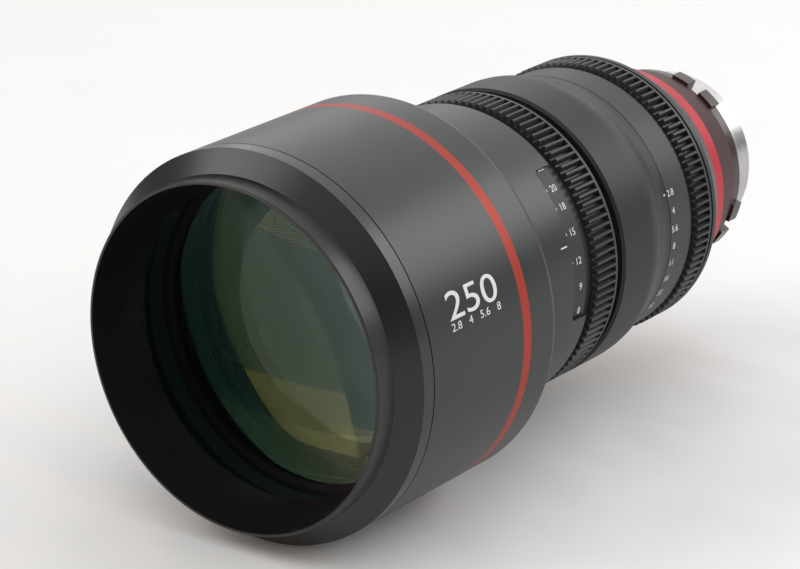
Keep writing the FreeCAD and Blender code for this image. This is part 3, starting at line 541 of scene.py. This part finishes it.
# Accent rings: thin turned aluminium rings, dyed red and seated between the barrels. The
# front one is orange red, and the rear one, from another dye, is pinker.
def dyed(name, colour, rough, shine):
    """Red dyed aluminium: the metal shows a little through the dye, with its lathe rings."""
    finish = Finish(name)
    rings = finish.turning(pitch=0.00015)
    cloud = finish.noise(scale=40.0)
    finish.surface(
        Base_Color=finish.mix(cloud, [c * 0.92 for c in colour], [c * 1.08 for c in colour]),
        Metallic=0.25,
        Roughness=rough + rings * 0.10,
        Specular_IOR_Level=shine,
        Normal=finish.bump(rings, strength=0.08, distance=0.00003),
    )
    return finish


orange_red = dyed("orange_red_dye", (0.33, 0.024, 0.009), rough=0.38, shine=0.35)
pink_red = dyed("pink_red_dye", (0.43, 0.016, 0.030), rough=0.38, shine=0.3)
dress(orange_red, "front_accent_ring")
dress(pink_red, "rear_accent_ring")

# Hood ring and front retainer: turned aluminium, dyed black. The hood ring is given a deeper black
# than the barrels, a painted shade for the dark that its bevel reflects. Inside the hood a long cone
# leads to the retainer that holds the front glass.
hood_colour_painted_darker = (0.0058, 0.0066, 0.0069)
hood_black_painted_darker = blacked("hood_black_with_painted_shade", hood_colour_painted_darker, rough=0.29, grain=3800.0, shine=0.48)
dress(hood_black_painted_darker, "hood_ring")
dress(inside, "front_retainer")

# The stage: white cotton spread on a table, with soft shallow folds. The lens lies on it,
# and the lowest line of its barrel touches the cloth.
cloth = Finish("white_cotton")
weave = cloth.noise(scale=900.0)
fold_and_painted_shade = cloth.noise(scale=5.0, detail=3.0, stretch=(1.0, 1.6, 1.0))
cloth.surface(
    # The cloth's colour follows its folds and is darker in their hollows: a painted shade. The folds
    # themselves are a bump.
    Base_Color=cloth.mix(fold_and_painted_shade, (0.80, 0.80, 0.795), (0.86, 0.86, 0.855)),
    Roughness=0.86 + weave * 0.08,
    Normal=cloth.bump(fold_and_painted_shade, strength=0.5, distance=0.02),
)
cloth_size = 6.0
cloth_cuts = 40
cloth_place = (0.0, 0.1, cad_low.z)
bpy.ops.object.select_all(action="DESELECT")
bpy.ops.mesh.primitive_grid_add(
    x_subdivisions=cloth_cuts, y_subdivisions=cloth_cuts, size=cloth_size, location=cloth_place
)
floor = bpy.context.object
floor.name = "cotton_floor"
bpy.ops.object.transform_apply(location=True, rotation=False, scale=False)
floor.data.materials.append(cloth.material)

# The light: a bright wall of windows behind the lens, a window and a white wall at its
# left, which is the side of the scales, a window at its right, and the ceiling. The
# camera's side of the room is dim, so the faces that look at the camera stay black.
world = bpy.data.worlds.new("dim_room")
bpy.context.scene.world = world
world.use_nodes = True
room_light = world.node_tree.nodes["Background"]
room_light.inputs["Color"].default_value = (0.96, 0.98, 1.0, 1.0)
room_light.inputs["Strength"].default_value = 0.19
lens_middle = Vector((0.0, 0.1, 0.0))


def light_panel(name, place, size, brightness, colour=(1.0, 1.0, 1.0)):
    """A soft light panel that faces the lens; at a brightness of 1 it is pure white."""
    bpy.ops.object.light_add(type="AREA", location=place)
    lamp = bpy.context.object
    lamp.name = name
    lamp.data.shape = "RECTANGLE"
    lamp.data.size = size[0]
    lamp.data.size_y = size[1]
    lamp.data.color = colour
    lamp.data.energy = brightness * math.pi * size[0] * size[1]
    lamp.rotation_mode = "QUATERNION"
    lamp.rotation_quaternion = (lens_middle - Vector(place)).to_track_quat("-Z", "Y")


light_panel("window_wall", (1.0, -4.8, 2.5), size=(9.0, 4.2), brightness=1.4)
light_panel("window_left", (-0.86, -0.93, 0.75), size=(1.0, 0.7), brightness=2.8)
light_panel("white_wall_left", (-2.0, -0.3, 0.6), size=(2.6, 1.3), brightness=0.8)
light_panel("window_right", (1.6, 1.45, 1.5), size=(1.9, 1.2), brightness=3.2)

# A wall lit warm by a lamp, low in front of the lens and at its right. It is three panels,
# one over the other, so that it fades towards its edges.
lit_place = (1.5, 2.3, 0.25)
lit_sizes = ((2.2, 0.40), (2.6, 0.60), (3.0, 0.80))
lamp_colour = (1.0, 0.68, 0.46)
for index, size in enumerate(lit_sizes):
    name = "lamp_lit_wall_%d" % (index + 1)
    light_panel(name, lit_place, size, brightness=3.0, colour=lamp_colour)

light_panel("ceiling", (-0.7, 0.3, 2.2), size=(4.4, 4.0), brightness=0.95)

bpy.context.scene.view_settings.view_transform = "Standard"
